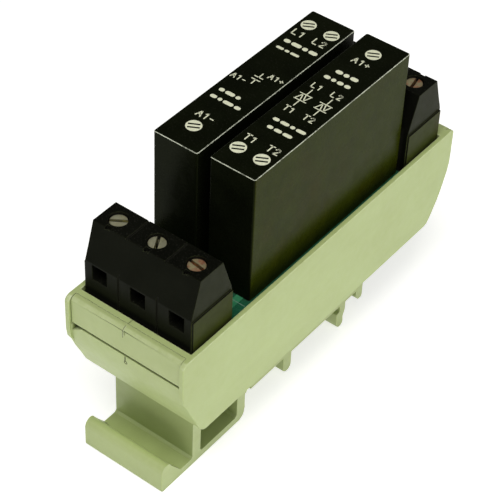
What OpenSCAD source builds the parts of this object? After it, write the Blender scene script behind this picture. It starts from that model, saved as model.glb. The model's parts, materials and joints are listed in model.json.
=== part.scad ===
// Plug-together control relay: two potted relay modules on a circuit board,
// two three-pole screw terminal blocks, all in a trough that clips on a 35 mm rail.
// +X runs along the rail, +Y from the latch end to the fixed end, +Z away from the rail.
// Inner coordinates: y = 0 at the trough's front face, z = 0 at the trough's rim.

/* [Carrier] */
// Outer width of the trough, along the rail
trough_w = 31; // [30.4:0.1:32]
// Length of the trough
trough_l = 95.2; // [95.2:0.1:96]
// Thickness of the long side walls
wall_t = 1.15; // [1:0.05:1.3]
// Depth of the side walls below the rim
wall_h = 24.3; // [24.2:0.1:24.4]
// Front end of the open interior
cav_y0 = 3.2; // [3:0.1:3.3]
// Rear end of the open interior
cav_y1 = 91.0; // [90.9:0.1:91.2]
// Top of the interior floor, below the rim
floor_top = -20.4; // [-20.6:0.1:-20.2]

/* [Marker strips] */
// Height of a marker strip
strip_h = 7.0; // [6.5:0.1:7.5]
// Dark joint left under a marker strip
strip_gap = 0.65; // [0.3:0.05:0.7]

/* [Rail foot] */
// Width of the foot and of the latch, along the rail
foot_w = 21.3; // [21:0.1:21.6]
// Height of the face that rests on the rail
seat_z = -34.1; // [-34.2:0.05:-34]
// Rear edge of the rail, at the fixed hook
hook_y = 62.15; // [62:0.05:62.3]
// Front edge of the rail, at the latch
catch_y = 27.0; // [26.9:0.05:27.05]
// Underside of the latch
foot_z = -41.0; // [-41.2:0.1:-40.95]
// Front face of the screwdriver lip
lip_y = -1.2; // [-1.4:0.1:-1]
// Diameter of the return spring's wire
spring_wire = 0.45; // [0.35:0.05:0.5]
// Outer diameter of the return spring
spring_od = 3.4; // [3.2:0.1:3.5]

/* [Circuit board] */
// Top face of the board, below the rim
pcb_top = -3.0; // [-3.1:0.1:-3]
// Thickness of the board
pcb_t = 1.6; // [1.5:0.1:1.7]

/* [Terminal blocks] */
// Distance between two poles
pitch = 9.9; // [9.8:0.05:9.95]
// Screw row of the front block
row_f = 10.0; // [9.9:0.05:10.1]
// Screw row of the rear block
row_r = 84.6; // [84.5:0.05:84.7]
// Top face of the blocks above the rim
block_top = 16.8; // [16.6:0.1:17]
// Radius of a screw head
head_r = 1.92; // [1.85:0.01:1.95]
// Radius of a screw shank
shank_r = 1.5; // [1.45:0.01:1.52]
// Radius of the hole in a clamp cage
cage_r = 1.56; // [1.55:0.01:1.6]
// Travel of a clamp cage
cage_travel = 3.0; // [2.5:0.1:3]

/* [Relay modules] */
// Width of a module, along the rail
mod_w = 11.16; // [11:0.02:11.2]
// Length of a module
mod_l = 53.0; // [52.8:0.1:53.1]
// Top of the modules above the rim
mod_top = 29.6; // [29.4:0.1:30]
// Distance from the centre line to the middle of a module
mod_x = 6.76; // [6.7:0.02:6.8]
// Middle of the left module
mod_a_y = 49.95; // [49.9:0.05:50]
// Middle of the right module
mod_b_y = 50.9; // [50.85:0.05:50.95]
// Thickness of a module's case
case_t = 1.0; // [0.9:0.05:1.1]

/* [Hidden] */
$fn = 48;
e = 0.01;
y_mid = (lip_y + trough_l) / 2;
in_w = trough_w - 2 * wall_t;
strip_seat_d = 1.75;
pcb_bot = pcb_top - pcb_t;
poles = [-pitch, 0, pitch];
green = [0.70, 0.76, 0.52];
green2 = [0.66, 0.72, 0.48];
black = [0.05, 0.05, 0.05];
brass = [0.80, 0.70, 0.42];
steel = [0.72, 0.73, 0.74];

// Moves inner coordinates so that the origin is under the middle of the whole part
module place() { translate([0, -y_mid, -foot_z]) children(); }
// Extrudes a (y, z) outline along x, from x0 over w
module along_x(x0, w) { translate([x0, 0, 0]) rotate([90, 0, 90]) linear_extrude(w) children(); }
// Box from corner to corner
module bx(a, b) { translate(a) cube([b[0] - a[0], b[1] - a[1], b[2] - a[2]]); }
// Turns a shape half round the middle of the trough
module to_rear() { translate([0, trough_l, 0]) rotate([0, 0, 180]) children(); }
function arc(cy, cz, r, a0, a1, n) = [for (i = [0:n]) [cy + r * cos(a0 + (a1 - a0) * i / n), cz + r * sin(a0 + (a1 - a0) * i / n)]];

// ---------- carrier ----------
low_front = [[0, -9.0], [0.3, -11.2], [0.9, -13.4], [1.74, -15.5], [2.6, -17.4], [3.5, -19.2], [4.3, -21.0], [4.95, -22.4], [5.6, -23.4], [6.3, -24.0], [7.1, -wall_h]];
low_rear = [[trough_l - 8.0, -wall_h], [trough_l - 6.9, -24.0], [trough_l - 5.8, -22.7], [trough_l - 4.7, -21.0], [trough_l - 3.5, -19.1], [trough_l - 2.4, -16.8], [trough_l - 1.4, -14.3], [trough_l - 0.5, -11.8], [trough_l, -9.3]];
module wall_outline() {
  polygon(concat(arc(1.0, -1.6, 1.6, 90, 180, 10), [[-0.6, -9.0], [-0.3, -11.2]],
    [for (i = [2:len(low_front) - 1]) low_front[i]], low_rear,
    arc(trough_l - 1.2, -1.2, 1.2, 0, 90, 8)));
}
module end_outline() {
  polygon(concat([[strip_seat_d, 0], [strip_seat_d, -strip_h - strip_gap], [0, -strip_h - strip_gap]], low_front,
    low_rear, [[trough_l, -strip_h - strip_gap], [trough_l - strip_seat_d, -strip_h - strip_gap], [trough_l - strip_seat_d, 0]]));
}
module cavity_outline() {
  polygon([[cav_y0, 1], [cav_y0, -14.0], [5.2, -18.4], [6.6, floor_top], [trough_l - 7.4, floor_top], [trough_l - 5.8, -17.6], [cav_y1, -12.0], [cav_y1, 1]]);
}
module carrier_trough() place() color(green) difference() {
  union() {
    difference() {
      union() {
        along_x(-trough_w / 2, wall_t) wall_outline();
        along_x(trough_w / 2 - wall_t, wall_t) wall_outline();
        along_x(-in_w / 2 - e, in_w + 2 * e) end_outline();
      }
      // open interior
      along_x(-in_w / 2, in_w) cavity_outline();
      // shallow recess under the floor for the latch and the foot
      bx([-in_w / 2, 8.0, -wall_h - 1], [in_w / 2, 87, -22.0]);
    }
    // stop post of the return spring
    bx([-1.9, 14.15, -26.4], [1.9, 15.9, -22.0 + e]);
    // ribs that carry the board
    for (s = [-1, 1], y = [19.5, 36, 58, 76]) bx([s > 0 ? in_w / 2 - 1.3 : -in_w / 2 - e, y, floor_top - e], [s > 0 ? in_w / 2 + e : -in_w / 2 + 1.3, y + 1.5, pcb_bot]);
    bx([-in_w / 2 - e, cav_y0 - e, -13], [in_w / 2 + e, cav_y0 + 1.0, pcb_bot]);
    bx([-in_w / 2 - e, cav_y1 - 1.0, -11], [in_w / 2 + e, cav_y1 + e, pcb_bot]);
  }
  // prying pockets under the marker strips
  pry_pocket();
  to_rear() pry_pocket();
}
// Prying pocket at one end of the joint under a marker strip
module pry_pocket() {
  translate([0, strip_seat_d, 0]) rotate([90, 0, 0]) linear_extrude(3.25)
    polygon([[-14.2, -strip_h], [-14.2, -9.3], [-11.7, -strip_h - strip_gap - 0.02], [-11.7, -strip_h]]);
}
module marker_strip() {
  difference() {
    along_x(-14.25, 28.5) polygon(concat([[1.7, -strip_h], [1.7, 0]], arc(1.1, -1.1, 1.1, 90, 180, 8), [[0, -strip_h]]));
    // middle notch
    bx([-0.35, -1, -1.9], [0.1, 0.22, -0.7]);
  }
}
module marker_strip_front() place() color(green) marker_strip();
module marker_strip_rear() place() color(green) to_rear() marker_strip();

// ---------- rail foot ----------
module rib_outline() {
  polygon([[28.9, -24.6], [31.5, -24.6], [31.5, -22.0], [71.0, -22.0], [71.0, seat_z], [28.9, seat_z]]);
}
module rail_foot() place() color(green2) union() {
  for (x = [-foot_w / 2, foot_w / 2 - 1.6]) along_x(x, 1.6) rib_outline();
  bx([-foot_w / 2 + 1.5, 31.5, -23.8], [foot_w / 2 - 1.5, 71.0, -22.0]);
  // front end wall
  bx([-foot_w / 2 + 1.5, 28.9, seat_z], [foot_w / 2 - 1.5, 30.9, -24.6]);
  // middle peg, inside the rail
  along_x(-foot_w / 2, foot_w) polygon(concat([[43.7, -23.9], [40.7, -23.9], [40.75, -37.2]], arc(42.35, -37.5, 1.6, 180, 270, 6), arc(42.35, -37.75, 1.35, 270, 360, 5)));
  // fixed hook
  along_x(-foot_w / 2, foot_w) polygon([[61.2, -23.9], [61.2, -34.0], [hook_y, seat_z], [hook_y, -35.8], [61.15, -36.1], [60.95, -36.5], [61.0, -38.8], [61.4, -40.1], [62.1, -40.85], [63.0, -40.9], [63.6, -40.4], [63.75, -39.6], [63.6, -38.2], [64.0, -37.2], [64.25, -36.4], [64.25, -23.9]]);
  // rear peg
  along_x(-foot_w / 2, foot_w) polygon([[68.3, -23.9], [68.4, -35.8], [69.5, -37.4], [70.7, -37.4], [71.0, -36.6], [71.0, -23.9]]);
}
module latch_guide(s) {
  difference() {
    bx([s > 0 ? 9.2 : -12.6, 8.2, -wall_h], [s > 0 ? 12.6 : -9.2, 31.0, -22.0]);
    bx([s > 0 ? 9.0 : -10.75, 8.0, -23.3], [s > 0 ? 10.75 : -9.0, 31.2, -21.9]);
  }
}
module latch_guide_left() place() color(green2) latch_guide(-1);
module latch_guide_right() place() color(green2) latch_guide(1);
module rail_latch() place() color(green) difference() {
  union() {
    // sliding plate with its two flanges
    bx([-9.05, 10.8, -24.6], [9.05, 27.0, -22.15]);
    bx([-9.05, 26.9, -24.15], [9.05, 30.2, -22.15]);
    bx([-10.6, 10.8, -23.1], [10.6, 30.2, -22.15]);
    // hanging leg, base shelf and screwdriver lip
    along_x(-foot_w / 2, foot_w) polygon(concat([[8.95, -24.5], [8.95, -38.5], [8.4, -39.0], [3.2, -39.0], [2.5, -38.2], [1.9, -35.0]],
      arc(0.4, -35.2, 1.5, 10, 170, 10), [[lip_y, -35.4], [lip_y, foot_z + 0.4], [lip_y + 0.4, foot_z]],
      [[25.2, foot_z], [26.3, foot_z + 0.6], [26.7, -39.8], [27.1, -38.0], [catch_y, -36.8], [catch_y, -33.95], [27.5, -33.6], [28.6, -24.6], [28.6, -24.5],
       [24.2, -24.5], [24.2, -38.4], [23.6, -39.0], [12.2, -39.0], [11.6, -38.4], [11.6, -24.5]]));
    // catch nose under the rail's front edge
    along_x(-8.5, 17.0) polygon([[26.6, -37.3], [27.5, -36.5], [28.3, -36.1], [28.3, -35.8], [catch_y, -35.6], [26.6, -35.6]]);
    // stiffening ramps at the ends of the lip
    for (x = [-foot_w / 2, foot_w / 2 - 1.3]) along_x(x, 1.3) polygon([[1.2, -35.0], [1.6, -34.6], [5.0, -39.0 + e], [5.0, -39.2], [1.2, -39.2]]);
  }
  // slot for the return spring and its post
  bx([-2.2, 14.0, -27], [2.2, 24.2, -21]);
}
// Return spring: a wire swept along a coil
sp_r = (spring_od - spring_wire) / 2;
sp_y0 = 15.92;
sp_y1 = 24.18;
sp_turns = 7;
sp_seg = 18;
sp_n = sp_turns * sp_seg;
sp_side = 8;
sp_len = sp_y1 - sp_y0 - spring_wire;
function sp_c(i) = let (a = 360 * i / sp_seg, u = i / sp_n, w = min(1, max(0, (u - 1 / sp_turns) / (1 - 2 / sp_turns))))
  [sp_r * cos(a), sp_y0 + spring_wire / 2 + spring_wire * 1.02 * min(u, 1 / sp_turns) * sp_turns + (sp_len - 2.04 * spring_wire) * w + spring_wire * 1.02 * max(0, u - 1 + 1 / sp_turns) * sp_turns, sp_r * sin(a)];
module latch_spring() place() color(steel) translate([0, 0, -24.55]) polyhedron(
  points = [for (i = [0:sp_n], k = [0:sp_side - 1]) let (a = 360 * i / sp_seg, b = 360 * k / sp_side, c = sp_c(i), q = spring_wire / 2 * (i == 0 || i == sp_n ? 0.98 : 1))
    [c[0] + q * cos(b) * cos(a), c[1] + q * sin(b), c[2] + q * cos(b) * sin(a)]],
  faces = concat(
    [[for (k = [0:sp_side - 1]) k]],
    [for (i = [0:sp_n - 1], k = [0:sp_side - 1]) let (k2 = (k + 1) % sp_side) [i * sp_side + k, (i + 1) * sp_side + k, (i + 1) * sp_side + k2, i * sp_side + k2]],
    [[for (k = [sp_side - 1:-1:0]) sp_n * sp_side + k]]));

// ---------- circuit board ----------
pin_y = [-21, -12, 12, 21];
pins_ab = concat([for (y = pin_y) [-mod_x, mod_a_y + y]], [for (y = pin_y) [mod_x, mod_b_y + y]]);
tails = concat([for (x = poles) [x, row_f + 4.6]], [for (x = poles) [x, row_r - 4.6]]);
module circuit_board() place() color([0.10, 0.38, 0.24]) difference() {
  bx([-14.15, 3.6, pcb_bot], [14.15, 90.6, pcb_top]);
  for (p = pins_ab) translate([p[0], p[1], pcb_bot - 1]) cylinder(r = 0.6, h = pcb_t + 2);
  for (p = tails) bx([p[0] - 0.75, p[1] - 0.55, pcb_bot - 1], [p[0] + 0.75, p[1] + 0.55, pcb_top + 1]);
}
module solder_joints() place() color(steel) {
  for (p = pins_ab) translate([p[0], p[1], 0]) rotate_extrude()
    polygon([[0.5, pcb_top], [0.6, pcb_top], [0.6, pcb_bot], [1.25, pcb_bot], [0.85, pcb_bot - 0.35], [0.6, pcb_bot - 0.95], [0.5, pcb_bot - 1.1]]);
  for (p = tails) translate([p[0], p[1], pcb_bot - 0.9]) difference() {
    cylinder(r1 = 1.0, r2 = 1.5, h = 0.9);
    bx([-0.6, -0.4, -1], [0.6, 0.4, 2]);
  }
}

// ---------- terminal blocks ----------
// Drawn for the front block, with y = 0 at the screw row and the wire side towards -y
module block_outline(d) {
  polygon([[-6.1 + d, pcb_top], [-6.1 + d, 8.0], [-5.0 + d, 11.4], [-3.4 + d, block_top - d], [3.5 - d, block_top - d], [6.4 - d, 8.6], [6.7 - d, 7.2], [6.7 - d, pcb_top]]);
}
module terminal_block() difference() {
  union() {
    along_x(-13.65, 27.3) block_outline(0);
    // wider skirt below the shoulder
    along_x(-14.03, 28.06) polygon([[-5.9, pcb_top], [-5.9, 7.4], [6.5, 7.4], [6.5, pcb_top]]);
  }
  // joints between the poles
  for (x = [-pitch / 2, pitch / 2]) {
    bx([x - 0.2, -7, -2], [x + 0.2, -5.75, 18]);
    bx([x - 0.2, 6.35, -2], [x + 0.2, 8, 18]);
    bx([x - 0.2, -7, block_top - 0.35], [x + 0.2, 8, 18]);
  }
  for (x = poles) translate([x, 0, 0]) {
    // screw well, shoulder hole and cage chamber
    translate([0, 0, 14.6]) cylinder(r = head_r + 0.22, h = 5);
    translate([0, 0, 13]) cylinder(r = shank_r + 0.25, h = 3);
    bx([-2.95, -2.7, 2.2], [2.95, 2.7, 13.75]);
    // wire entry
    bx([-1.9, -7, 3.65], [1.9, 0, 7.55]);
    // seat of the contact bar and of its tail
    bx([-1.75, -3.45, 7.55], [1.75, 5.05, 8.45]);
    bx([-0.65, 4.15, -4], [0.65, 5.05, 8.45]);
    // test notch beside the screw
    bx([-0.6, -3.5, 15.6], [0.6, -2.6, 18]);
  }
}
module terminal_block_front() place() color(black) translate([0, row_f, 0]) terminal_block();
module terminal_block_rear() place() color(black) translate([0, row_r, 0]) rotate([0, 0, 180]) terminal_block();
module contact_bar() {
  bx([-1.7, -3.4, 7.6], [1.7, 5.0, 8.4]);
  bx([-0.6, 4.2, -6.0], [0.6, 5.0, 7.6 + e]);
}
module contact_bars_front() place() color(brass) translate([0, row_f, 0]) for (x = poles) translate([x, 0, 0]) contact_bar();
module contact_bars_rear() place() color(brass) translate([0, row_r, 0]) rotate([0, 0, 180]) for (x = poles) translate([x, 0, 0]) contact_bar();

// Slotted cheese-head screw; turn is the direction of its slot
module screw_at(x, y, turn) place() color(brass) translate([x, y, 0]) rotate([0, 0, turn]) difference() {
  union() {
    translate([0, 0, 14.62]) cylinder(r = head_r, h = 1.7);
    translate([0, 0, 8.6]) cylinder(r = shank_r, h = 6.1);
  }
  bx([-3, -0.27, 15.5], [3, 0.27, 17]);
}
// Lifting clamp cage: a frame open towards the wire, with a hole for the screw
module cage_at(x, y, flip) place() color(steel) translate([x, y, 0]) rotate([0, 0, flip]) difference() {
  bx([-2.8, -2.5, 2.6], [2.8, 2.5, 10.6]);
  bx([-2.0, -3, 3.6], [2.0, 3, 9.0]);
  translate([0, 0, 8]) cylinder(r = cage_r, h = 4);
}
module terminal_screw_f1() screw_at(-pitch, row_f, 34);
module terminal_screw_f2() screw_at(0, row_f, 118);
module terminal_screw_f3() screw_at(pitch, row_f, 172);
module terminal_screw_r1() screw_at(pitch, row_r, 100);
module terminal_screw_r2() screw_at(0, row_r, 20);
module terminal_screw_r3() screw_at(-pitch, row_r, 150);
module clamp_cage_f1() cage_at(-pitch, row_f, 0);
module clamp_cage_f2() cage_at(0, row_f, 0);
module clamp_cage_f3() cage_at(pitch, row_f, 0);
module clamp_cage_r1() cage_at(pitch, row_r, 180);
module clamp_cage_r2() cage_at(0, row_r, 180);
module clamp_cage_r3() cage_at(-pitch, row_r, 180);

// ---------- relay modules ----------
mod_bot = pcb_top;
fill_bot = pcb_top + 0.5;
module rounded_rect(w, l, r) {
  square([w - 2 * r, l], center = true);
  square([w, l - 2 * r], center = true);
  for (i = [-1, 1], j = [-1, 1]) translate([i * (w / 2 - r), j * (l / 2 - r)]) circle(r = r);
}
module mod_case() difference() {
  translate([0, 0, mod_bot]) linear_extrude(mod_top - mod_bot) rounded_rect(mod_w, mod_l, 0.5);
  bx([-mod_w / 2 + case_t, -mod_l / 2 + case_t, mod_bot - 1], [mod_w / 2 - case_t, mod_l / 2 - case_t, mod_top - case_t]);
}
module mod_substrate() bx([-0.4, -23, 1], [0.4, 23, 25]);
module mod_spreader() bx([0.4, 1, 4], [2.0, 22, 24]);
module mod_dies() { bx([2.0, 3, 9], [2.5, 8.5, 14.5]); bx([2.0, 13, 9], [2.5, 18.5, 14.5]); }
module mod_opto() bx([-3.8, -17, 8], [-0.4, -10.5, 16.5]);
module mod_pins() for (y = pin_y) translate([0, y, pcb_bot - 1.5]) cylinder(r = 0.5, h = 1 - pcb_bot + 1.5);
module mod_potting() difference() {
  bx([-mod_w / 2 + case_t, -mod_l / 2 + case_t, fill_bot], [mod_w / 2 - case_t, mod_l / 2 - case_t, mod_top - case_t]);
  mod_substrate();
  mod_spreader();
  mod_dies();
  mod_opto();
  for (y = pin_y) translate([0, y, fill_bot - 1]) cylinder(r = 0.5, h = 1 - fill_bot + 1);
}
module at_a() place() translate([-mod_x, mod_a_y, 0]) children();
module at_b() place() translate([mod_x, mod_b_y, 0]) children();
module module_a_case() at_a() color(black) mod_case();
module module_a_potting() at_a() color([0.16, 0.15, 0.14]) mod_potting();
module module_a_substrate() at_a() color([0.85, 0.83, 0.78]) mod_substrate();
module module_a_heat_spreader() at_a() color(steel) mod_spreader();
module module_a_thyristors() at_a() color([0.25, 0.25, 0.30]) mod_dies();
module module_a_optocoupler() at_a() color([0.9, 0.9, 0.88]) mod_opto();
module module_a_pins() at_a() color(brass) mod_pins();
module module_b_case() at_b() color(black) mod_case();
module module_b_potting() at_b() color([0.16, 0.15, 0.14]) mod_potting();
module module_b_substrate() at_b() color([0.85, 0.83, 0.78]) mod_substrate();
module module_b_heat_spreader() at_b() color(steel) mod_spreader();
module module_b_thyristors() at_b() color([0.25, 0.25, 0.30]) mod_dies();
module module_b_optocoupler() at_b() color([0.9, 0.9, 0.88]) mod_opto();
module module_b_pins() at_b() color(brass) mod_pins();

carrier_trough();
marker_strip_front();
marker_strip_rear();
rail_foot();
latch_guide_left();
latch_guide_right();
rail_latch();
latch_spring();
circuit_board();
solder_joints();
terminal_block_front();
terminal_block_rear();
contact_bars_front();
contact_bars_rear();
terminal_screw_f1();
terminal_screw_f2();
terminal_screw_f3();
terminal_screw_r1();
terminal_screw_r2();
terminal_screw_r3();
clamp_cage_f1();
clamp_cage_f2();
clamp_cage_f3();
clamp_cage_r1();
clamp_cage_r2();
clamp_cage_r3();
module_a_case();
module_a_potting();
module_a_substrate();
module_a_heat_spreader();
module_a_thyristors();
module_a_optocoupler();
module_a_pins();
module_b_case();
module_b_potting();
module_b_substrate();
module_b_heat_spreader();
module_b_thyristors();
module_b_optocoupler();
module_b_pins();
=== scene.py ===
import json
import math
import bpy
import bmesh
from mathutils import Matrix, Vector


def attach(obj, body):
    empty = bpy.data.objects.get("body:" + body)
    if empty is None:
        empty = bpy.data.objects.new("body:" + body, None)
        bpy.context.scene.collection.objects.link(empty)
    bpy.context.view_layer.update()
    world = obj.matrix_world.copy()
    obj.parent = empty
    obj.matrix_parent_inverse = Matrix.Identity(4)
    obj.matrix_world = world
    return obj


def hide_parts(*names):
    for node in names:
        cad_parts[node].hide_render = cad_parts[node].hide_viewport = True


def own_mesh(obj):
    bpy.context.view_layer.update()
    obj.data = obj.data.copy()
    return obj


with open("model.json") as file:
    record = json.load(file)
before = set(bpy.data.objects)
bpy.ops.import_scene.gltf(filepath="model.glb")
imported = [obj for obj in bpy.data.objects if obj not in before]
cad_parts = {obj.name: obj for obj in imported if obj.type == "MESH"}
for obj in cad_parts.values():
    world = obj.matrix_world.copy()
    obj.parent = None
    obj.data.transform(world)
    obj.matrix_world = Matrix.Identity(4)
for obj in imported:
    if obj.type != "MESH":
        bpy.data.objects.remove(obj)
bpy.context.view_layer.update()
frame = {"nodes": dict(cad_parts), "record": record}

nodes = frame["nodes"]
MM = 0.001
Y_MID, Z_LIFT = 47.0, 41.0      # the CAD's inner coordinates: y from the trough's front face, z from its rim


def P(x, y, z):
    """Inner millimetres to the row frame's metres."""
    return Vector((x * MM, (y - Y_MID) * MM, (z + Z_LIFT) * MM))


# ------------------------------------------------------------------ camera
AZ, EL, ROLL = math.radians(35.956), math.radians(42.997), math.radians(2.769)
back = Vector((math.sin(AZ) * math.cos(EL), -math.cos(AZ) * math.cos(EL), math.sin(EL)))
right = Vector((math.cos(AZ), math.sin(AZ), 0.0))
up = back.cross(right)
r2 = right * math.cos(ROLL) + up * math.sin(ROLL)
u2 = -right * math.sin(ROLL) + up * math.cos(ROLL)
cam_data = bpy.data.cameras.new("camera")
cam_data.sensor_width = 36.0
cam_data.lens = 132.18
cam_data.clip_start = 0.01
cam_data.clip_end = 20.0
cam = bpy.data.objects.new("camera", cam_data)
bpy.context.scene.collection.objects.link(cam)
m = Matrix.Identity(4)
for row in range(3):
    m[row][0], m[row][1], m[row][2] = r2[row], u2[row], back[row]
m.translation = Vector((0.168189, -0.238074, 0.300416))
cam.matrix_world = m
bpy.context.scene.camera = cam


# ------------------------------------------------------------------ material helpers
class Mat:
    """A small wrapper that keeps node code short."""

    def __init__(self, name):
        self.m = bpy.data.materials.new(name)
        self.m.use_nodes = True
        self.t = self.m.node_tree
        self.t.nodes.clear()
        self.out = self.add("ShaderNodeOutputMaterial")
        self.b = self.add("ShaderNodeBsdfPrincipled")
        self.link(self.b.outputs["BSDF"], self.out.inputs["Surface"])
        tc = self.add("ShaderNodeTexCoord")
        mp = self.add("ShaderNodeMapping")
        mp.inputs["Scale"].default_value = (1000.0, 1000.0, 1000.0)   # object metres to millimetres
        self.link(tc.outputs["Object"], mp.inputs["Vector"])
        self.vec = mp.outputs["Vector"]

    def add(self, kind, **props):
        n = self.t.nodes.new(kind)
        for k, v in props.items():
            setattr(n, k, v)
        return n

    def link(self, a, b):
        self.t.links.new(a, b)

    def scaled(self, s):
        n = self.add("ShaderNodeMapping")
        n.inputs["Scale"].default_value = s
        self.link(self.vec, n.inputs["Vector"])
        return n.outputs["Vector"]

    def noise(self, scale, detail=3.0, rough=0.55, vec=None, distortion=0.0):
        n = self.add("ShaderNodeTexNoise")
        n.inputs["Scale"].default_value = scale
        n.inputs["Detail"].default_value = detail
        n.inputs["Roughness"].default_value = rough
        n.inputs["Distortion"].default_value = distortion
        self.link(vec or self.vec, n.inputs["Vector"])
        return n.outputs["Fac"]

    def ramp(self, fac, lo, hi, a=0.0, b=1.0):
        n = self.add("ShaderNodeMapRange")
        n.inputs["From Min"].default_value = lo
        n.inputs["From Max"].default_value = hi
        n.inputs["To Min"].default_value = a
        n.inputs["To Max"].default_value = b
        self.link(fac, n.inputs["Value"])
        return n.outputs["Result"]

    def mix(self, fac, a, b, mode="MIX"):
        n = self.add("ShaderNodeMix", data_type="RGBA", blend_type=mode)
        for sock, v in ((n.inputs[0], fac), (n.inputs[6], a), (n.inputs[7], b)):
            if isinstance(v, (int, float)):
                sock.default_value = v
            elif isinstance(v, tuple):
                sock.default_value = (*v, 1.0)
            else:
                self.link(v, sock)
        return n.outputs[2]

    def math(self, op, a, b=None):
        n = self.add("ShaderNodeMath", operation=op)
        for i, v in enumerate((a, b)):
            if v is None:
                continue
            if isinstance(v, (int, float)):
                n.inputs[i].default_value = v
            else:
                self.link(v, n.inputs[i])
        return n.outputs[0]

    def bump(self, height, strength, dist_mm, normal=None):
        n = self.add("ShaderNodeBump")
        n.inputs["Strength"].default_value = strength
        n.inputs["Distance"].default_value = dist_mm * MM
        self.link(height, n.inputs["Height"])
        if normal is not None:
            self.link(normal, n.inputs["Normal"])
        return n.outputs["Normal"]

    def edge(self, radius_mm, lo=0.02, hi=0.25):
        """1 on worn outer edges, 0 on flats: the rounded normal against the true one."""
        bv = self.add("ShaderNodeBevel", samples=4)
        bv.inputs["Radius"].default_value = radius_mm * MM
        g = self.add("ShaderNodeNewGeometry")
        d = self.add("ShaderNodeVectorMath", operation="DOT_PRODUCT")
        self.link(bv.outputs["Normal"], d.inputs[0])
        self.link(g.outputs["Normal"], d.inputs[1])
        return self.ramp(self.math("SUBTRACT", 1.0, d.outputs["Value"]), lo, hi)

    def crevice(self, dist_mm):
        """0 deep in a corner, 1 in the open."""
        n = self.add("ShaderNodeAmbientOcclusion", samples=6)
        n.inputs["Distance"].default_value = dist_mm * MM
        return n.outputs["AO"]

    def set(self, **kw):
        for k, v in kw.items():
            sock = self.b.inputs[k.replace("_", " ")]
            if isinstance(v, (int, float, tuple)):
                sock.default_value = (*v, 1.0) if isinstance(v, tuple) and len(v) == 3 and sock.type == "RGBA" else v
            else:
                self.link(v, sock)


def green_plastic(name, base, warm, edge_wear_and_highlight=0.35, grain=1.0, offset=0.0, rim_glint_strength=0.7, shade=0.0):
    """Moulded pale green polyamide: cloudy colour, fine spark-eroded grain, painted shade in corners, edges lightened
    partly by wear and partly as painted highlight, painted highlight on sloping rims.
    """
    M = Mat(name)
    cloud = M.noise(0.055 + offset, 3.0, 0.6)
    streak = M.noise(0.35, 4.0, 0.6, M.scaled((1.0, 0.18, 1.0)), 0.4)
    speck = M.noise(2.6, 2.0, 0.5)
    col = M.mix(M.ramp(cloud, 0.35, 0.65), base, warm)
    col = M.mix(M.ramp(streak, 0.42, 0.72, 0.0, 0.22), col, tuple(min(1.0, c * 1.13) for c in base))
    col = M.mix(M.ramp(speck, 0.66, 0.74, 0.0, 0.22), col, tuple(c * 0.72 for c in base))
    # painted shade: darker olive in corners and crevices (0.9 mm occlusion)
    ao = M.crevice(0.9)
    col = M.mix(M.ramp(ao, 0.30, 0.85, 0.38, 0.0), col, (0.11, 0.12, 0.05))
    # edges lightened: partly wear, partly a painted highlight along the rounded arrises
    edge = M.edge(0.28)
    col = M.mix(M.math("MULTIPLY", edge, M.ramp(M.noise(0.8, 3.0), 0.35, 0.6, 0.15 * edge_wear_and_highlight, edge_wear_and_highlight)), col, (0.62, 0.68, 0.42))
    # painted highlight: sloping, upward-facing faces such as the rims are drawn paler
    g = M.add("ShaderNodeNewGeometry")
    sep = M.add("ShaderNodeSeparateXYZ")
    M.link(g.outputs["Normal"], sep.inputs["Vector"])
    rim_glint = M.math("MULTIPLY", M.math("MULTIPLY", M.ramp(sep.outputs["Z"], 0.15, 0.4), M.ramp(sep.outputs["Z"], 0.9, 0.985, 1.0, 0.0)),
                 M.ramp(M.noise(0.6, 4.0, 0.65), 0.35, 0.6, 0.25, 0.8))
    col = M.mix(M.math("MULTIPLY", rim_glint, rim_glint_strength), col, (0.66, 0.72, 0.46))
    if shade > 0.0:
        # painted shade: darker olive where the part lies sheltered (9 mm occlusion)
        col = M.mix(M.ramp(M.crevice(9.0), 0.25, 0.85, shade, 0.0), col, (0.150, 0.200, 0.045))
    rough = M.ramp(M.noise(0.5, 4.0, 0.6), 0.3, 0.7, 0.40, 0.54)
    h1 = M.noise(9.0, 3.0, 0.65)
    h2 = M.noise(0.22, 2.0, 0.5)
    n = M.bump(h2, 0.25, 0.08)
    n = M.bump(h1, 0.22 * grain, 0.02, n)
    M.set(Base_Color=col, Roughness=rough, Normal=n, IOR=1.52, Subsurface_Weight=0.0)
    return M.m


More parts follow.
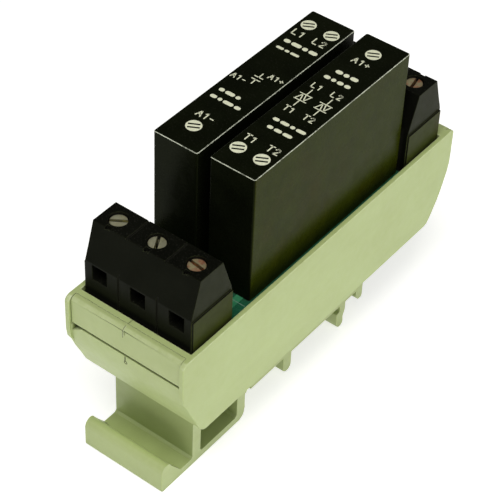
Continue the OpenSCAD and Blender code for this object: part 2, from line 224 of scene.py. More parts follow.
def black_plastic(name, base, r0, r1, wavy=0.3, grain=0.1, dust=0.25, edge_tint=(0.18, 0.18, 0.14), edge_amt=0.5,
                  spec=0.5, tint=(1.0, 1.0, 1.0), reflection_tint=(0.01, 0.01, 0.01), reflection_x=10.0, reflection_z=None, top_highlight=0.0):
    """Black moulding: sink waviness, faint scratches, dust that gathers in corners, edges lightened partly by wear and
    partly as painted highlight, a painted floor reflection on the long faces.
    """
    M = Mat(name)
    cloud = M.noise(0.12, 3.0, 0.55)
    col = M.mix(M.ramp(cloud, 0.35, 0.7), base, tuple(c * 1.7 for c in base))
    scr = M.noise(1.4, 5.0, 0.65, M.scaled((1.0, 9.0, 0.6)), 0.6)
    speck = M.noise(3.2, 2.0, 0.45)
    g = M.add("ShaderNodeNewGeometry")
    sep = M.add("ShaderNodeSeparateXYZ")
    M.link(g.outputs["Normal"], sep.inputs["Vector"])
    upward = M.ramp(sep.outputs["Z"], 0.2, 0.95)
    # painted reflection of the pale floor: the long faces carry a cloudy olive tint, strongest below the given height
    # (millimetres above the rail clip)
    reflection_mask = M.ramp(M.math("ABSOLUTE", sep.outputs["X"]), 0.75, 0.97)
    reflection_mask = M.math("MULTIPLY", reflection_mask, M.ramp(M.noise(0.30, 5.0, 0.65), 0.25, 0.75, 0.62, 1.0))
    pos = M.add("ShaderNodeSeparateXYZ")
    M.link(M.vec, pos.inputs["Vector"])
    reflection_mask = M.math("MULTIPLY", reflection_mask, M.ramp(M.math("ABSOLUTE", pos.outputs["X"]), reflection_x - 0.2, reflection_x + 0.2))
    if reflection_z is not None:
        reflection_mask = M.math("MULTIPLY", reflection_mask, M.ramp(pos.outputs["Z"], reflection_z - 0.1, reflection_z + 0.1, 1.0, 0.3))
    # the painted reflection's tint turns brownish in mottles
    reflection_col = M.mix(M.ramp(M.noise(0.045, 3.0, 0.6), 0.52, 0.70, 0.0, 0.55), reflection_tint, (reflection_tint[0] * 1.25, reflection_tint[1] * 0.72, reflection_tint[2]))
    col = M.mix(reflection_mask, col, reflection_col)
    dusty = M.math("MULTIPLY", upward, M.ramp(speck, 0.60, 0.72, 0.0, dust))
    col = M.mix(dusty, col, (0.21, 0.20, 0.17))
    ao = M.crevice(1.0)
    col = M.mix(M.ramp(ao, 0.3, 0.9, 0.25, 0.0), col, (0.05, 0.048, 0.04))
    # edges lightened: partly wear, partly a painted highlight along the rounded arrises
    e = M.math("MULTIPLY", M.edge(0.22), M.ramp(M.noise(1.1, 3.0), 0.3, 0.6, 0.3 * edge_amt, edge_amt))
    if top_highlight > 0.0:
        # painted highlight: the upper arrises facing +X and -Y are drawn pale, in dashes
        tilt = M.math("MULTIPLY", M.ramp(sep.outputs["Z"], 0.18, 0.45), M.ramp(sep.outputs["Z"], 0.80, 0.97, 1.0, 0.0))
        lit_edges = M.ramp(M.math("SUBTRACT", sep.outputs["X"], sep.outputs["Y"]), 0.05, 0.3, 0.12, 1.0)
        tilt = M.math("MULTIPLY", tilt, lit_edges)
        highlight_dashes = M.ramp(M.noise(0.9, 4.0, 0.7), 0.36, 0.52, 0.35, 1.0)
        e = M.math("MAXIMUM", M.math("MULTIPLY", e, 0.5), M.math("MULTIPLY", M.math("MULTIPLY", tilt, highlight_dashes), top_highlight))
    col = M.mix(e, col, edge_tint)
    rough = M.math("ADD", M.ramp(M.noise(0.45, 4.0, 0.6), 0.3, 0.7, r0, r1), M.ramp(scr, 0.62, 0.72, 0.0, 0.12))
    n = M.bump(M.noise(0.16, 2.0, 0.45), wavy, 0.12)
    n = M.bump(M.noise(7.5, 3.0, 0.6), grain, 0.015, n)
    M.set(Base_Color=col, Roughness=rough, Normal=n, IOR=1.5, Specular_IOR_Level=spec, Specular_Tint=tint)
    return M.m


def metal(name, base, r0, r1, tarnish, lathe=False, brushed=None, amt=0.35):
    """Plated or bare metal with tarnish clouds and tool marks; lathe rings need the piece's origin on its axis."""
    M = Mat(name)
    cloud = M.noise(0.7, 4.0, 0.6)
    col = M.mix(M.ramp(cloud, 0.42, 0.75, 0.0, amt), base, tarnish)
    # darker tarnish in crevices: partly patina, partly painted shade
    ao = M.crevice(0.7)
    col = M.mix(M.ramp(ao, 0.35, 0.95, 0.55, 0.0), col, tuple(c * 0.25 for c in tarnish))
    rough = M.ramp(M.noise(1.9, 4.0, 0.6), 0.3, 0.7, r0, r1)
    n = None
    if lathe:
        L = M.add("ShaderNodeVectorMath", operation="LENGTH")
        M.link(M.scaled((1.0, 1.0, 0.0)), L.inputs[0])
        w = M.add("ShaderNodeMath", operation="SINE")
        M.link(M.math("MULTIPLY", L.outputs["Value"], 62.0), w.inputs[0])
        n = M.bump(w.outputs[0], 0.25, 0.006)
    if brushed:
        n = M.bump(M.noise(6.0, 3.0, 0.7, M.scaled(brushed)), 0.3, 0.01)
    n2 = M.bump(M.noise(5.0, 3.0), 0.1, 0.01, n)
    M.set(Base_Color=col, Metallic=1.0, Roughness=rough, Normal=n2)
    return M.m


def plain(name, base, rough, var=0.15, bump=0.15, scale=2.0, ior=1.5):
    """Fine-grained simple material: print, ceramic, resin."""
    M = Mat(name)
    col = M.mix(M.ramp(M.noise(scale, 4.0, 0.6), 0.35, 0.7), base, tuple(c * (1.0 - var) for c in base))
    rr = M.ramp(M.noise(scale * 0.6, 3.0), 0.3, 0.7, max(0.0, rough - 0.06), min(1.0, rough + 0.08))
    n = M.bump(M.noise(scale * 5.0, 3.0), bump, 0.01)
    M.set(Base_Color=col, Roughness=rr, Normal=n, IOR=ior)
    return M.m


def board_mat(name):
    """Solder mask over woven glass: the weave shows as a faint grid through the green lacquer."""
    M = Mat(name)
    w1 = M.add("ShaderNodeTexWave", wave_type="BANDS", bands_direction="X")
    w2 = M.add("ShaderNodeTexWave", wave_type="BANDS", bands_direction="Y")
    for w in (w1, w2):
        w.inputs["Scale"].default_value = 0.75
        w.inputs["Distortion"].default_value = 0.4
        M.link(M.vec, w.inputs["Vector"])
    weave = M.math("MULTIPLY", w1.outputs["Fac"], w2.outputs["Fac"])
    col = M.mix(M.ramp(weave, 0.0, 1.0, 0.0, 0.5), (0.015, 0.115, 0.055), (0.03, 0.19, 0.09))
    col = M.mix(M.ramp(M.noise(0.25, 3.0), 0.4, 0.7, 0.0, 0.4), col, (0.012, 0.08, 0.045))
    # painted shade: darker in crevices beside the parts
    ao = M.crevice(1.2)
    col = M.mix(M.ramp(ao, 0.3, 0.95, 0.5, 0.0), col, (0.02, 0.03, 0.015))
    n = M.bump(weave, 0.12, 0.02)
    M.set(Base_Color=col, Roughness=M.ramp(M.noise(1.1, 3.0), 0.3, 0.7, 0.18, 0.34), Normal=n, IOR=1.5)
    return M.m


G = green_plastic("carrier_green", (0.448, 0.535, 0.222), (0.422, 0.500, 0.198))
G_FOOT = green_plastic("foot_green", (0.405, 0.478, 0.190), (0.372, 0.440, 0.168), edge_wear_and_highlight=0.3, offset=0.013, rim_glint_strength=0.3, shade=0.25)
G_STRIP = green_plastic("marker_green", (0.440, 0.515, 0.222), (0.412, 0.485, 0.200), edge_wear_and_highlight=0.45, grain=0.7, offset=0.021, rim_glint_strength=0.35)
G_LATCH = green_plastic("latch_green", (0.430, 0.508, 0.212), (0.398, 0.470, 0.188), edge_wear_and_highlight=0.45, grain=0.8, offset=0.03, rim_glint_strength=0.10, shade=0.38)
BLOCK = black_plastic("terminal_black", (0.0030, 0.0032, 0.0022), 0.30, 0.42, wavy=0.15, grain=0.22, dust=0.10,
                      edge_tint=(0.10, 0.115, 0.05), edge_amt=0.5, spec=0.04, tint=(0.85, 1.0, 0.45),
                      reflection_tint=(0.036, 0.045, 0.005), reflection_x=13.2, reflection_z=48.4)
CASE = black_plastic("case_black", (0.0030, 0.0038, 0.0015), 0.22, 0.34, wavy=0.14, grain=0.06, dust=0.04,
                     edge_tint=(0.62, 0.65, 0.52), edge_amt=0.6, spec=0.035, tint=(0.75, 1.0, 0.10),
                     reflection_tint=(0.028, 0.036, 0.0015), reflection_x=10.0, top_highlight=1.0)
BRASS = metal("terminal_metal", (0.78, 0.62, 0.32), 0.25, 0.40, (0.35, 0.22, 0.10), brushed=(1.0, 12.0, 1.0))
SCREW = metal("screw_brass", (0.95, 0.92, 0.62), 0.34, 0.50, (0.62, 0.56, 0.22), lathe=True, amt=0.5)
SCREW_CU = metal("screw_copper", (0.95, 0.84, 0.48), 0.34, 0.50, (0.85, 0.16, 0.07), lathe=True, amt=0.9)
CAGE = metal("cage_steel", (0.60, 0.60, 0.58), 0.28, 0.42, (0.30, 0.28, 0.24), brushed=(1.0, 1.0, 10.0))
SPRING = metal("spring_steel", (0.58, 0.58, 0.57), 0.20, 0.32, (0.25, 0.22, 0.18), brushed=(8.0, 1.0, 8.0))
SOLDER = metal("solder", (0.66, 0.67, 0.68), 0.18, 0.36, (0.36, 0.35, 0.33))
PIN = metal("pin_metal", (0.72, 0.66, 0.54), 0.25, 0.36, (0.40, 0.28, 0.18))
ALU = metal("spreader_alu", (0.66, 0.67, 0.68), 0.28, 0.42, (0.45, 0.45, 0.46), brushed=(1.0, 14.0, 1.0))
POTTING = plain("potting", (0.026, 0.024, 0.022), 0.28, 0.3, 0.1, 0.8)
CERAMIC = plain("ceramic", (0.70, 0.68, 0.62), 0.45, 0.08)
SILICON = plain("silicon", (0.05, 0.05, 0.075), 0.15, 0.3, 0.02)
OPTO = plain("opto_white", (0.70, 0.69, 0.65), 0.4, 0.08)
BOARD = board_mat("board_green")
PRINT = plain("print_cream", (0.88, 0.90, 0.66), 0.5, 0.22, 0.25, 3.0)
TRACK = plain("board_track", (0.045, 0.26, 0.12), 0.24, 0.2, 0.08, 1.2)
SILK = plain("board_silk", (0.16, 0.30, 0.22), 0.5, 0.12, 0.2, 3.0)
PAD = metal("pad_tin", (0.66, 0.65, 0.60), 0.24, 0.38, (0.40, 0.36, 0.28))


# ------------------------------------------------------------------ pieces from the CAD nodes
def body_of(name):
    for b, members in frame["record"]["behaviour"]["bodies"].items():
        if name in members:
            return b
    return "carrier"


def link_obj(ob):
    bpy.context.scene.collection.objects.link(ob)
    return ob


def sharp_weights(bm, width, angle, crisp_inside=False):
    """Bevel weights per edge: the full width where there is room, less beside grooves, steps and short edges."""
    lay = bm.edges.layers.float.new("bevel_weight_edge")
    bm.edges.index_update()
    sharp = {e.index: e for e in bm.edges if len(e.link_faces) == 2 and e.calc_face_angle(0.0) > angle}
    if crisp_inside:
        for i, e in list(sharp.items()):
            if not e.is_convex:
                e.smooth = False
                del sharp[i]
    room = {i: width for i in sharp}

    def near(p, a, b):
        ab = b - a
        t = max(0.0, min(1.0, (p - a).dot(ab) / max(ab.length_squared, 1e-18)))
        return (p - (a + ab * t)).length

    for i, e in sharp.items():
        a, b = e.verts[0].co, e.verts[1].co
        pts = (a.lerp(b, 0.02), a.lerp(b, 0.5), a.lerp(b, 0.98))
        for f in e.link_faces:
            for o in f.edges:
                if o.index == i or o.index not in sharp:
                    continue
                common = set(e.verts) & set(o.verts)
                if common:
                    v = common.pop()
                    d1 = (v.co - e.other_vert(v).co).normalized()
                    d2 = (o.other_vert(v).co - v.co).normalized()
                    if d1.dot(d2) < 0.88:
                        room[i] = min(room[i], 0.46 * o.calc_length())
                        room[o.index] = min(room[o.index], 0.46 * e.calc_length())
                else:
                    c, d = o.verts[0].co, o.verts[1].co
                    gap = min(near(p, c, d) for p in pts)
                    along = abs((b - a).normalized().dot((d - c).normalized()))
                    if along > 0.9 and gap < 2.3 * width:
                        # beside it, not further along the same bend
                        mid = near(pts[1], c, d)
                        side = (pts[1] - c) - (d - c).normalized() * (pts[1] - c).dot((d - c).normalized())
                        if side.length > 0.6 * mid:
                            room[i] = min(room[i], 0.43 * mid)
    for _ in range(4):
        for i, e in sharp.items():
            for v in e.verts:
                for o in v.link_edges:
                    if o.index in room and o.index != i:
                        room[i] = min(room[i], room[o.index] * 1.5)
    for i, e in sharp.items():
        e[lay] = max(0.03, room[i] / width)


def clean_slivers(bm):
    """Merges needle-thin faces, left over from the exact solids, into their neighbours."""
    for _ in range(4):
        bad = set()
        for f in bm.faces:
            long = max(f.edges, key=lambda q: q.calc_length())
            if f.calc_area() / max(long.calc_length(), 1e-9) < 4e-6 and len(long.link_faces) == 2:
                bad.add(long)
        if not bad:
            break
        bmesh.ops.dissolve_edges(bm, edges=list(bad), use_verts=False, use_face_split=False)


def dress(name, mat, bevel=0.14, seg=3, angle=32.0, origin=None, edit=None, crisp_inside=False):
    """A detailed copy of a CAD node: clean faces, rounded edges and its own material. It replaces the node."""
    me = nodes[name].data.copy()
    me.name = "v_" + name
    bm = bmesh.new()
    bm.from_mesh(me)
    bmesh.ops.remove_doubles(bm, verts=bm.verts[:], dist=2e-6)
    bmesh.ops.dissolve_degenerate(bm, edges=bm.edges[:], dist=1e-6)
    bmesh.ops.dissolve_limit(bm, angle_limit=math.radians(0.6), verts=bm.verts[:], edges=bm.edges[:], use_dissolve_boundaries=False)
    clean_slivers(bm)
    if edit:
        edit(bm)
    if bevel > 0:
        bm.normal_update()
        sharp_weights(bm, bevel * MM, math.radians(angle), crisp_inside)
    for f in bm.faces:
        f.material_index = 0
        f.smooth = True
    bm.normal_update()
    bm.to_mesh(me)
    bm.free()
    me.materials.clear()
    me.materials.append(mat)
    ob = link_obj(bpy.data.objects.new("v_" + name, me))
    if origin is not None:
        me.transform(Matrix.Translation(-origin))
        ob.location = origin
    if bevel > 0:
        bv = ob.modifiers.new("edges", "BEVEL")
        bv.width = bevel * MM
        bv.segments = seg
        bv.limit_method = "WEIGHT"
        bv.use_clamp_overlap = False
        bv.loop_slide = False
        wn = ob.modifiers.new("flat_faces", "WEIGHTED_NORMAL")
        wn.mode = "FACE_AREA"
        wn.weight = 100
        wn.keep_sharp = True
    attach(ob, body_of(name))
    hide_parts(name)
    return ob


def carry(name, mat):
    """A CAD node that keeps its own mesh and gets a better material."""
    o = nodes[name]
    o.data.materials.clear()
    o.data.materials.append(mat)


def new_mesh(name, verts, faces, mat, body="carrier", smooth=False):
    me = bpy.data.meshes.new(name)
    me.from_pydata([tuple(v) for v in verts], [], faces)
    me.materials.append(mat)
    bm = bmesh.new()
    bm.from_mesh(me)
    bmesh.ops.recalc_face_normals(bm, faces=bm.faces[:])
    for f in bm.faces:
        f.smooth = smooth
    bm.to_mesh(me)
    bm.free()
    ob = link_obj(bpy.data.objects.new(name, me))
    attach(ob, body)
    return ob


TOP_DROP = 0.03 * MM


def lower_top(bm):
    zmax = max(v.co.z for v in bm.verts)
    for v in bm.verts:
        if v.co.z > zmax - 1e-6:
            v.co.z -= TOP_DROP


def rear_back(bm):
    """The rear end sits 0.04 mm in, so that its moulding marks stay within the part's size."""
    lim = P(0, 95.16, 0).y
    for v in bm.verts:
        v.co.y = min(v.co.y, lim)


def wedge_tip(bm):
    """The latch wall's wedge ends in a 0.1 mm step, too short to round: its two corners become one."""
    tip = [v for v in bm.verts if (v.co.yz - P(0, 28.6, -24.55).yz).length < 0.12 * MM]
    bmesh.ops.remove_doubles(bm, verts=tip, dist=0.15 * MM)


dress("carrier_trough", G, bevel=0.22, seg=3, edit=rear_back)
dress("marker_strip_front", G_STRIP, bevel=0.1)
dress("marker_strip_rear", G_STRIP, bevel=0.1, edit=rear_back)
dress("rail_foot", G_FOOT, bevel=0.18)
dress("latch_guide_left", G_FOOT, bevel=0.1)
dress("latch_guide_right", G_FOOT, bevel=0.1)
dress("rail_latch", G_LATCH, bevel=0.18, edit=wedge_tip)
dress("circuit_board", BOARD, bevel=0.04, seg=2)
for n in ("terminal_block_front", "terminal_block_rear"):
    dress(n, BLOCK, bevel=0.13, angle=11.0, crisp_inside=True)
for n in ("module_a_case", "module_b_case"):
    dress(n, CASE, bevel=0.22, seg=4, edit=lower_top)
pole = {"f1": (-9.9, 10.0), "f2": (0, 10.0), "f3": (9.9, 10.0), "r1": (9.9, 84.6), "r2": (0, 84.6), "r3": (-9.9, 84.6)}
for k, (x, y) in pole.items():
    dress("terminal_screw_" + k, SCREW_CU if k in ("f3", "r1") else SCREW, bevel=0.13, seg=3, origin=P(x, y, 15.5))
    dress("clamp_cage_" + k, CAGE, bevel=0.12, seg=2)
for n in ("contact_bars_front", "contact_bars_rear"):
    dress(n, BRASS, bevel=0.08, seg=2)


def coil(name, mat):
    """The latch's return spring: round wire on a close-wound, then open, then close-wound coil with ground ends."""
    wire, r_mean, y0, y1, turns, seg, side = 0.225, 1.475, 15.92, 24.18, 7, 40, 14
    n = turns * seg
    length = y1 - y0 - 2 * wire
    bm = bmesh.new()
    rings = []
    pitch = 2 * wire * 1.02

    def centre(i):
        u, a = i / n, 2 * math.pi * i / seg
        w = min(1.0, max(0.0, (u - 1 / turns) / (1 - 2 / turns)))
        w = w * w * (3 - 2 * w) * 0.35 + w * 0.65
        y = y0 + wire + pitch * min(u, 1 / turns) * turns + (length - 2 * pitch) * w + pitch * max(0.0, u - 1 + 1 / turns) * turns
        return Vector((r_mean * math.cos(a), y, r_mean * math.sin(a))), a

    for i in range(n + 1):
        c, a = centre(i)
        ring = []
        for k in range(side):
            b = 2 * math.pi * k / side
            q = wire * (0.97 if i in (0, n) else 1.0)
            x, y, z = c.x + q * math.cos(b) * math.cos(a), c.y + q * math.sin(b), c.z + q * math.cos(b) * math.sin(a)
            y = min(max(y, y0 + 0.02), y1 - 0.02)
            ring.append(bm.verts.new(P(x, y, z - 24.55)))
        rings.append(ring)
    for r0, r1 in zip(rings, rings[1:]):
        for k in range(side):
            bm.faces.new((r0[k], r1[k], r1[(k + 1) % side], r0[(k + 1) % side]))
    bm.faces.new(rings[0][::-1])
    bm.faces.new(rings[-1])
    bmesh.ops.recalc_face_normals(bm, faces=bm.faces[:])
    for f in bm.faces:
        f.smooth = len(f.verts) == 4
    me = bpy.data.meshes.new(name)
    bm.to_mesh(me)
    bm.free()
    me.materials.append(mat)
    ob = link_obj(bpy.data.objects.new(name, me))
    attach(ob, "carrier")
    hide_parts("latch_spring")
    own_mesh(ob)
    return ob


coil("v_latch_spring", SPRING)
carry("solder_joints", SOLDER)
for mname in "ab":
    carry(f"module_{mname}_potting", POTTING)
    carry(f"module_{mname}_substrate", CERAMIC)
    carry(f"module_{mname}_heat_spreader", ALU)
    carry(f"module_{mname}_thyristors", SILICON)
    carry(f"module_{mname}_optocoupler", OPTO)
    carry(f"module_{mname}_pins", PIN)

# ------------------------------------------------------------------ printing on the module tops
GLYPH = {
    "L": [[(0.02, 1), (0.02, 0), (0.56, 0)]],
    "T": [[(0, 1), (0.62, 1)], [(0.31, 1), (0.31, 0)]],
    "A": [[(0, 0), (0.31, 1), (0.62, 0)], [(0.12, 0.34), (0.50, 0.34)]],
    "1": [[(0.12, 0.76), (0.36, 1), (0.36, 0)]],
    "2": [[(0.02, 0.76), (0.10, 0.93), (0.29, 1), (0.48, 0.93), (0.56, 0.76), (0.50, 0.55), (0.02, 0), (0.60, 0)]],
    "+": [[(0.06, 0.42), (0.54, 0.42)], [(0.30, 0.18), (0.30, 0.66)]],
    "-": [[(0.10, 0.42), (0.50, 0.42)]],
}


class Print:
    """Collects flat ink shapes on one plane and builds them as thin raised solids."""

    def __init__(self):
        self.v, self.f = [], []

    def prism(self, pts, z0, z1):
        n = len(pts)
        b = len(self.v)
        self.v += [P(x, y, z0) for x, y in pts] + [P(x, y, z1) for x, y in pts]
        self.f += [list(range(b, b + n))[::-1], list(range(b + n, b + 2 * n))]
        self.f += [[b + i, b + (i + 1) % n, b + n + (i + 1) % n, b + n + i] for i in range(n)]

    def line(self, a, b, w, z0, z1):
        ax, ay = a
        bx, by = b
        d = math.hypot(bx - ax, by - ay) or 1e-9
        ux, uy = (bx - ax) / d, (by - ay) / d
        pts = []
        base = math.atan2(uy, ux)
        for i in range(7):      # round cap at b
            t = base - math.pi / 2 + math.pi * i / 6
            pts.append((bx + w / 2 * math.cos(t), by + w / 2 * math.sin(t)))
        for i in range(7):
            t = base + math.pi / 2 + math.pi * i / 6
            pts.append((ax + w / 2 * math.cos(t), ay + w / 2 * math.sin(t)))
        self.prism(pts, z0, z1)

    def poly(self, pts, w, z0, z1):
        for a, b in zip(pts, pts[1:]):
            self.line(a, b, w, z0, z1)

    def text(self, s, cx, cy, h, w, z0, z1, gap=0.30):
        adv = [(0.62 if c != "1" else 0.46) * h for c in s]
        total = sum(adv) + gap * h * (len(s) - 1)
        x = cx - total / 2
        for c, a in zip(s, adv):
            shift = -0.06 * h if c == "1" else 0
            for pl in GLYPH[c]:
                self.poly([(x + shift + p[0] * h, cy - h / 2 + p[1] * h) for p in pl], w, z0, z1)
            x += a + gap * h

    def disc(self, cx, cy, r, ang, z0, z1):
        """The usual sign for a screw terminal: a pale disc with the two dark sides of a slot."""
        ca, sa = math.cos(ang), math.sin(ang)

        def put(pts):
            self.prism([(cx + u * ca - v * sa, cy + u * sa + v * ca) for u, v in pts], z0, z1)

        lo, hi, inner = 0.17 * r, 0.44 * r, 0.74 * r
        a1 = math.asin(hi / r)
        for sgn in (1, -1):
            put([(r * math.cos(t), sgn * r * math.sin(t)) for t in [a1 + (math.pi - 2 * a1) * i / 16 for i in range(17)]])
            ring = [(sgn * r * math.cos(t), r * math.sin(t)) for t in [-a1 + 2 * a1 * i / 8 for i in range(9)]]
            put(ring + [(sgn * inner, hi), (sgn * inner, -hi)])
        put([(-inner, -lo), (inner, -lo), (inner, lo), (-inner, lo)])

    def build(self, name, mat):
        return new_mesh(name, self.v, self.f, mat)


Z_TOP = 29.6 - 0.03
ZA, ZB = Z_TOP - 0.01, Z_TOP + 0.02


def dashes(pr, cx, cy, widths, h, gap=0.34):
    """A row of short plain bars, where wording would be."""
    total = sum(widths) + gap * (len(widths) - 1)
    x = cx - total / 2
    for w in widths:
        pr.line((x + h / 2, cy), (x + w - h / 2, cy), h, ZA, ZB)
        x += w + gap


MX = 6.76
a_c, b_c = (-MX, 49.95), (MX, 50.9)
SLOT_ANG = math.radians(30)
pa = Print()
ax0, ay0 = a_c
for dx in (-3.05, 2.9):
    pa.disc(ax0 + dx, ay0 + 21.6, 1.72, SLOT_ANG, ZA, ZB)
pa.text("L1", ax0 - 3.0, ay0 + 17.9, 1.9, 0.30, ZA, ZB)
pa.text("L2", ax0 + 2.5, ay0 + 17.9, 1.9, 0.30, ZA, ZB)
dashes(pa, ax0 + 0.3, ay0 + 14.2, [1.6, 2.5, 1.3, 2.1], 1.15)
dashes(pa, ax0 - 0.9, ay0 + 11.3, [1.9, 1.1, 2.2], 0.75)
pa.text("A1-", ax0 - 3.2, ay0 - 2.1, 1.55, 0.26, ZA, ZB)
pa.text("A1+", ax0 + 3.1, ay0 + 2.3, 1.55, 0.26, ZA, ZB)
pa.poly([(ax0 - 1.1, ay0 - 0.55), (ax0 + 0.9, ay0 - 0.55)], 0.26, ZA, ZB)
pa.poly([(ax0 - 0.1, ay0 - 0.55), (ax0 - 0.1, ay0 - 2.1)], 0.26, ZA, ZB)
pa.poly([(ax0 - 1.1, ay0 + 0.45), (ax0 + 0.9, ay0 + 0.45)], 0.26, ZA, ZB)
pa.poly([(ax0 - 0.1, ay0 + 0.45), (ax0 - 0.1, ay0 + 1.9)], 0.26, ZA, ZB)
dashes(pa, ax0 - 1.3, ay0 - 7.6, [1.3, 2.3, 1.1], 1.05)
dashes(pa, ax0 - 0.3, ay0 - 10.3, [1.6, 1.0, 2.5, 1.5], 1.0)
pa.text("A1-", ax0 - 0.4, ay0 - 16.3, 1.8, 0.28, ZA, ZB)
pa.disc(ax0 - 0.4, ay0 - 20.2, 1.72, SLOT_ANG, ZA, ZB)
pa.build("print_module_a", PRINT)

pb = Print()
bx0, by0 = b_c
pb.disc(bx0 - 0.1, by0 + 21.0, 1.72, SLOT_ANG, ZA, ZB)
pb.text("A1+", bx0 - 0.4, by0 + 17.2, 1.8, 0.28, ZA, ZB)
dashes(pb, bx0 - 0.1, by0 + 11.6, [1.7, 1.3, 1.9], 1.15)
dashes(pb, bx0 - 0.5, by0 + 8.7, [1.5, 1.1, 1.5, 1.4], 1.10)
for dx, n in ((-2.75, "1"), (2.25, "2")):
    pb.text("L" + n, bx0 + dx, by0 + 4.8, 1.6, 0.26, ZA, ZB)
    pb.text("T" + n, bx0 + dx, by0 - 4.7, 1.6, 0.26, ZA, ZB)
    x, y = bx0 + dx, by0 + 0.05
    # two switching elements back to back between bars
    pb.poly([(x, y + 3.2), (x, y + 1.35)], 0.24, ZA, ZB)
    pb.poly([(x, y - 3.2), (x, y - 1.35)], 0.24, ZA, ZB)
    for s in (-1, 1):
        pb.poly([(x - 1.45, y + s * 1.1), (x + 1.45, y + s * 1.1)], 0.24, ZA, ZB)
    pb.poly([(x - 1.3, y - 0.95), (x - 0.65, y + 0.95), (x - 0.05, y - 0.95)], 0.24, ZA, ZB)
    pb.poly([(x + 0.05, y + 0.95), (x + 0.7, y - 0.95), (x + 1.3, y + 0.95)], 0.24, ZA, ZB)
dashes(pb, bx0 + 0.6, by0 - 9.0, [1.5, 2.1, 1.1, 2.3], 0.95)
dashes(pb, bx0 + 0.2, by0 - 11.7, [1.4, 1.8, 2.2], 0.95)
for dx, n in ((-3.0, "1"), (2.8, "2")):
    pb.text("T" + n, bx0 + dx, by0 - 17.0, 1.8, 0.28, ZA, ZB)
    pb.disc(bx0 + dx - 0.1, by0 - 20.7, 1.72, SLOT_ANG, ZA, ZB)
pb.build("print_module_b", PRINT)

# ------------------------------------------------------------------ moulding marks on the two ends, with painted shade and painted highlight
def slab(name, prof, x0, x1, mat, body="carrier", rear=False):
    """A (y, z) outline stretched along x, in inner millimetres."""
    n = len(prof)
    sy = (lambda y: min(95.2, 95.16 - y)) if rear else (lambda y: y)
    v = [P(x0, sy(y), z) for y, z in prof] + [P(x1, sy(y), z) for y, z in prof]
    f = [list(range(n))[::-1], list(range(n, 2 * n))] + [[i, (i + 1) % n, n + (i + 1) % n, n + i] for i in range(n)]
    return new_mesh(name, v, f, mat, body)


SHADE = plain("joint_shadow", (0.022, 0.027, 0.008), 0.8, 0.3, 0.3, 1.5, 1.3)
# painted shade (dark) and painted highlight (pale) colours for the seam lines
SEAM = plain("seam_painted_shade", (0.120, 0.142, 0.052), 0.7, 0.35, 0.3, 2.0)
SEAM_HIGHLIGHT = plain("seam_painted_highlight", (0.62, 0.68, 0.42), 0.45, 0.15, 0.2, 2.0)
for tag, rear in (("front", False), ("rear", True)):
    # painted shadow: a dark strip in the joint under the marker strip
    slab("joint_painted_shadow_" + tag, [(0.30, -7.0), (1.70, -7.0), (1.70, -7.62), (0.42, -7.62)], -13.9, 14.1, SHADE, rear=rear)
    # parting seam over the wall's top and round the strip's shoulder, drawn as a painted-shade line with a
    # painted-highlight line beside it
    arc_pts = [(1.1 + 1.125 * math.cos(math.radians(t)), -1.1 + 1.125 * math.sin(math.radians(t))) for t in range(90, 181, 15)]
    arc_in = [(1.1 + 1.04 * math.cos(math.radians(t)), -1.1 + 1.04 * math.sin(math.radians(t))) for t in range(180, 89, -15)]
    slab("seam_" + tag, arc_pts + [(-0.018, -2.6), (0.06, -2.6)] + arc_in, -0.62, -0.48, SEAM, rear=rear)
    slab("seam_highlight_strip_" + tag, arc_pts + [(-0.018, -2.2), (0.06, -2.2)] + arc_in, -0.48, -0.38, SEAM_HIGHLIGHT, rear=rear)
    slab("seam_rim_" + tag, [(1.80, -0.05), (1.80, 0.0), (3.15, 0.0), (3.15, -0.05)], -0.62, -0.48, SEAM, rear=rear)
    # gate mark under the joint: a round stub in the dark seam colour (painted shade), with a short flow line in the
    # painted-shadow colour
    mk = Print()
    cx, cz = 0.1, -9.35
    ring = []
    for i in range(18):
        t = 2 * math.pi * i / 18
        ring.append((cx + 0.42 * math.cos(t), cz + 0.50 * math.sin(t)))
    n = len(ring)
    yy = lambda z: 0.0 + max(0.0, -9.0 - z) * 0.136
    sy = (lambda y: min(95.2, 95.16 - y)) if rear else (lambda y: y)
    v, f = [], []
    for k, (grow, out) in enumerate(((1.0, 0.02), (1.0, -0.05), (0.72, -0.07), (0.60, 0.01))):
        for x, z in ring:
            v.append(P(cx + (x - cx) * grow, sy(yy(z) + out), cz + (z - cz) * grow))
    for k in range(3):
        for i in range(n):
            j = (i + 1) % n
            f.append([k * n + i, k * n + j, (k + 1) * n + j, (k + 1) * n + i])
    f.append([3 * n + i for i in range(n)])
    f.append([i for i in range(n)][::-1])
    new_mesh("gate_mark_" + tag, v, f, SEAM, smooth=False)
    slab("gate_line_" + tag, [(-0.012, -7.7), (0.05, -7.7), (0.05, -8.9), (-0.012, -8.9)], -0.13, 0.11, SHADE, rear=rear)

# ------------------------------------------------------------------ copper, pads and lettering-free silkscreen on the board
PCB_TOP, PCB_BOT = -3.0, -4.6
pin_y = [-21, -12, 12, 21]
pins = [(-MX, 49.95 + y) for y in pin_y] + [(MX, 50.9 + y) for y in pin_y]
tails = [(x, 14.6) for x in (-9.9, 0, 9.9)] + [(x, 80.0) for x in (-9.9, 0, 9.9)]
routes = [
    [(-9.9, 14.6), (-9.9, 21.0), (-MX, 24.4), (-MX, 28.95)],
    [(0, 14.6), (0, 20.4), (3.2, 23.6), (MX, 27.0), (MX, 29.9)],
    [(9.9, 14.6), (9.9, 35.2), (MX, 38.9)],
    [(-9.9, 80.0), (-9.9, 74.0), (-MX, 70.95)],
    [(0, 80.0), (0, 66.0), (-MX, 61.95)],
    [(9.9, 80.0), (9.9, 75.0), (MX, 71.9)],
    [(-MX, 37.95), (-0.6, 44.0), (-0.6, 56.8), (MX, 62.9)],
]
tr = Print()
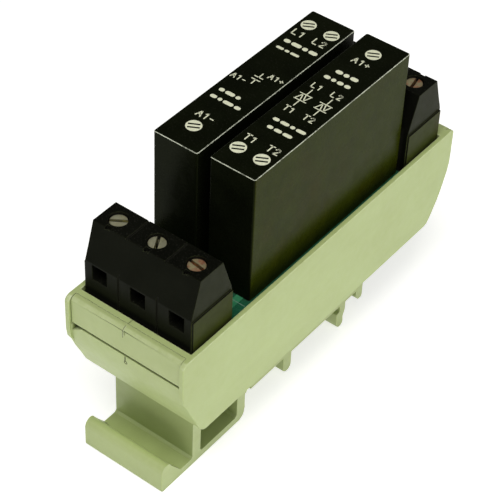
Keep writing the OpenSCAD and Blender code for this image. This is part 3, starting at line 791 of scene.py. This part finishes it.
for rt in routes:
    tr.poly(rt, 1.7, PCB_TOP - 0.005, PCB_TOP + 0.035)
    tr.poly(rt, 1.9, PCB_BOT - 0.035, PCB_BOT + 0.005)
tr.build("board_tracks", TRACK)
pd = Print()
for x, y in pins + tails:
    for z0, z1 in ((PCB_TOP, PCB_TOP + 0.05), (PCB_BOT - 0.05, PCB_BOT)):
        n = 20
        r_out, r_in = 1.35, 0.72
        for i in range(n):
            t0, t1 = 2 * math.pi * i / n, 2 * math.pi * (i + 1) / n
            pd.prism([(x + r_in * math.cos(t0), y + r_in * math.sin(t0)), (x + r_out * math.cos(t0), y + r_out * math.sin(t0)),
                      (x + r_out * math.cos(t1), y + r_out * math.sin(t1)), (x + r_in * math.cos(t1), y + r_in * math.sin(t1))], z0, z1)
pd.build("board_pads", PAD)
sk = Print()
for y in (17.45, 22.75):
    sk.poly([(-12.4, y), (12.4, y)], 0.18, PCB_TOP - 0.005, PCB_TOP + 0.045)
for x in (-12.9, 12.9):
    sk.poly([(x, 18.0), (x, 22.2)], 0.18, PCB_TOP - 0.005, PCB_TOP + 0.045)
sk.build("board_silkscreen", SILK)

# ------------------------------------------------------------------ floor and light
fm = Mat("floor_pale")
fm.set(Base_Color=fm.mix(fm.ramp(fm.noise(0.01, 3.0), 0.35, 0.65), (0.66, 0.66, 0.655), (0.70, 0.70, 0.695)), Roughness=0.62)
fm.set(Emission_Color=(1.0, 1.0, 0.985), Emission_Strength=0.66)
me = bpy.data.meshes.new("floor")
s = 1.6
me.from_pydata([(-s, -s, -0.00006), (s, -s, -0.00006), (s, s, -0.00006), (-s, s, -0.00006)], [], [[0, 1, 2, 3]])
me.materials.append(fm.m)
floor = link_obj(bpy.data.objects.new("floor", me))

world = bpy.data.worlds.new("studio")
world.use_nodes = True
bg = world.node_tree.nodes["Background"]
bg.inputs["Color"].default_value = (0.95, 0.97, 1.0, 1.0)
bg.inputs["Strength"].default_value = 0.14
bpy.context.scene.world = world


def area(name, loc, target, size, watts, colour=(1, 1, 1)):
    d = bpy.data.lights.new(name, "AREA")
    d.shape = "RECTANGLE"
    d.size, d.size_y = size
    d.energy = watts
    d.color = colour
    o = link_obj(bpy.data.objects.new(name, d))
    o.location = loc
    o.rotation_euler = (Vector(target) - Vector(loc)).to_track_quat("-Z", "Y").to_euler()
    return o


area("key", (0.16, -0.30, 0.86), (0, 0, 0.03), (0.42, 0.42), 4.9, (1.0, 0.985, 0.95))
area("side", (0.80, -0.02, 0.36), (0, 0, 0.03), (0.5, 0.5), 1.8)
area("fill", (-0.30, -0.62, 0.50), (0, 0, 0.03), (0.5, 0.5), 0.4, (0.97, 0.98, 1.0))

sc = bpy.context.scene
sc.view_settings.view_transform = "Standard"
sc.view_settings.look = "None"
sc.view_settings.exposure = 0.0
sc.view_settings.gamma = 1.0
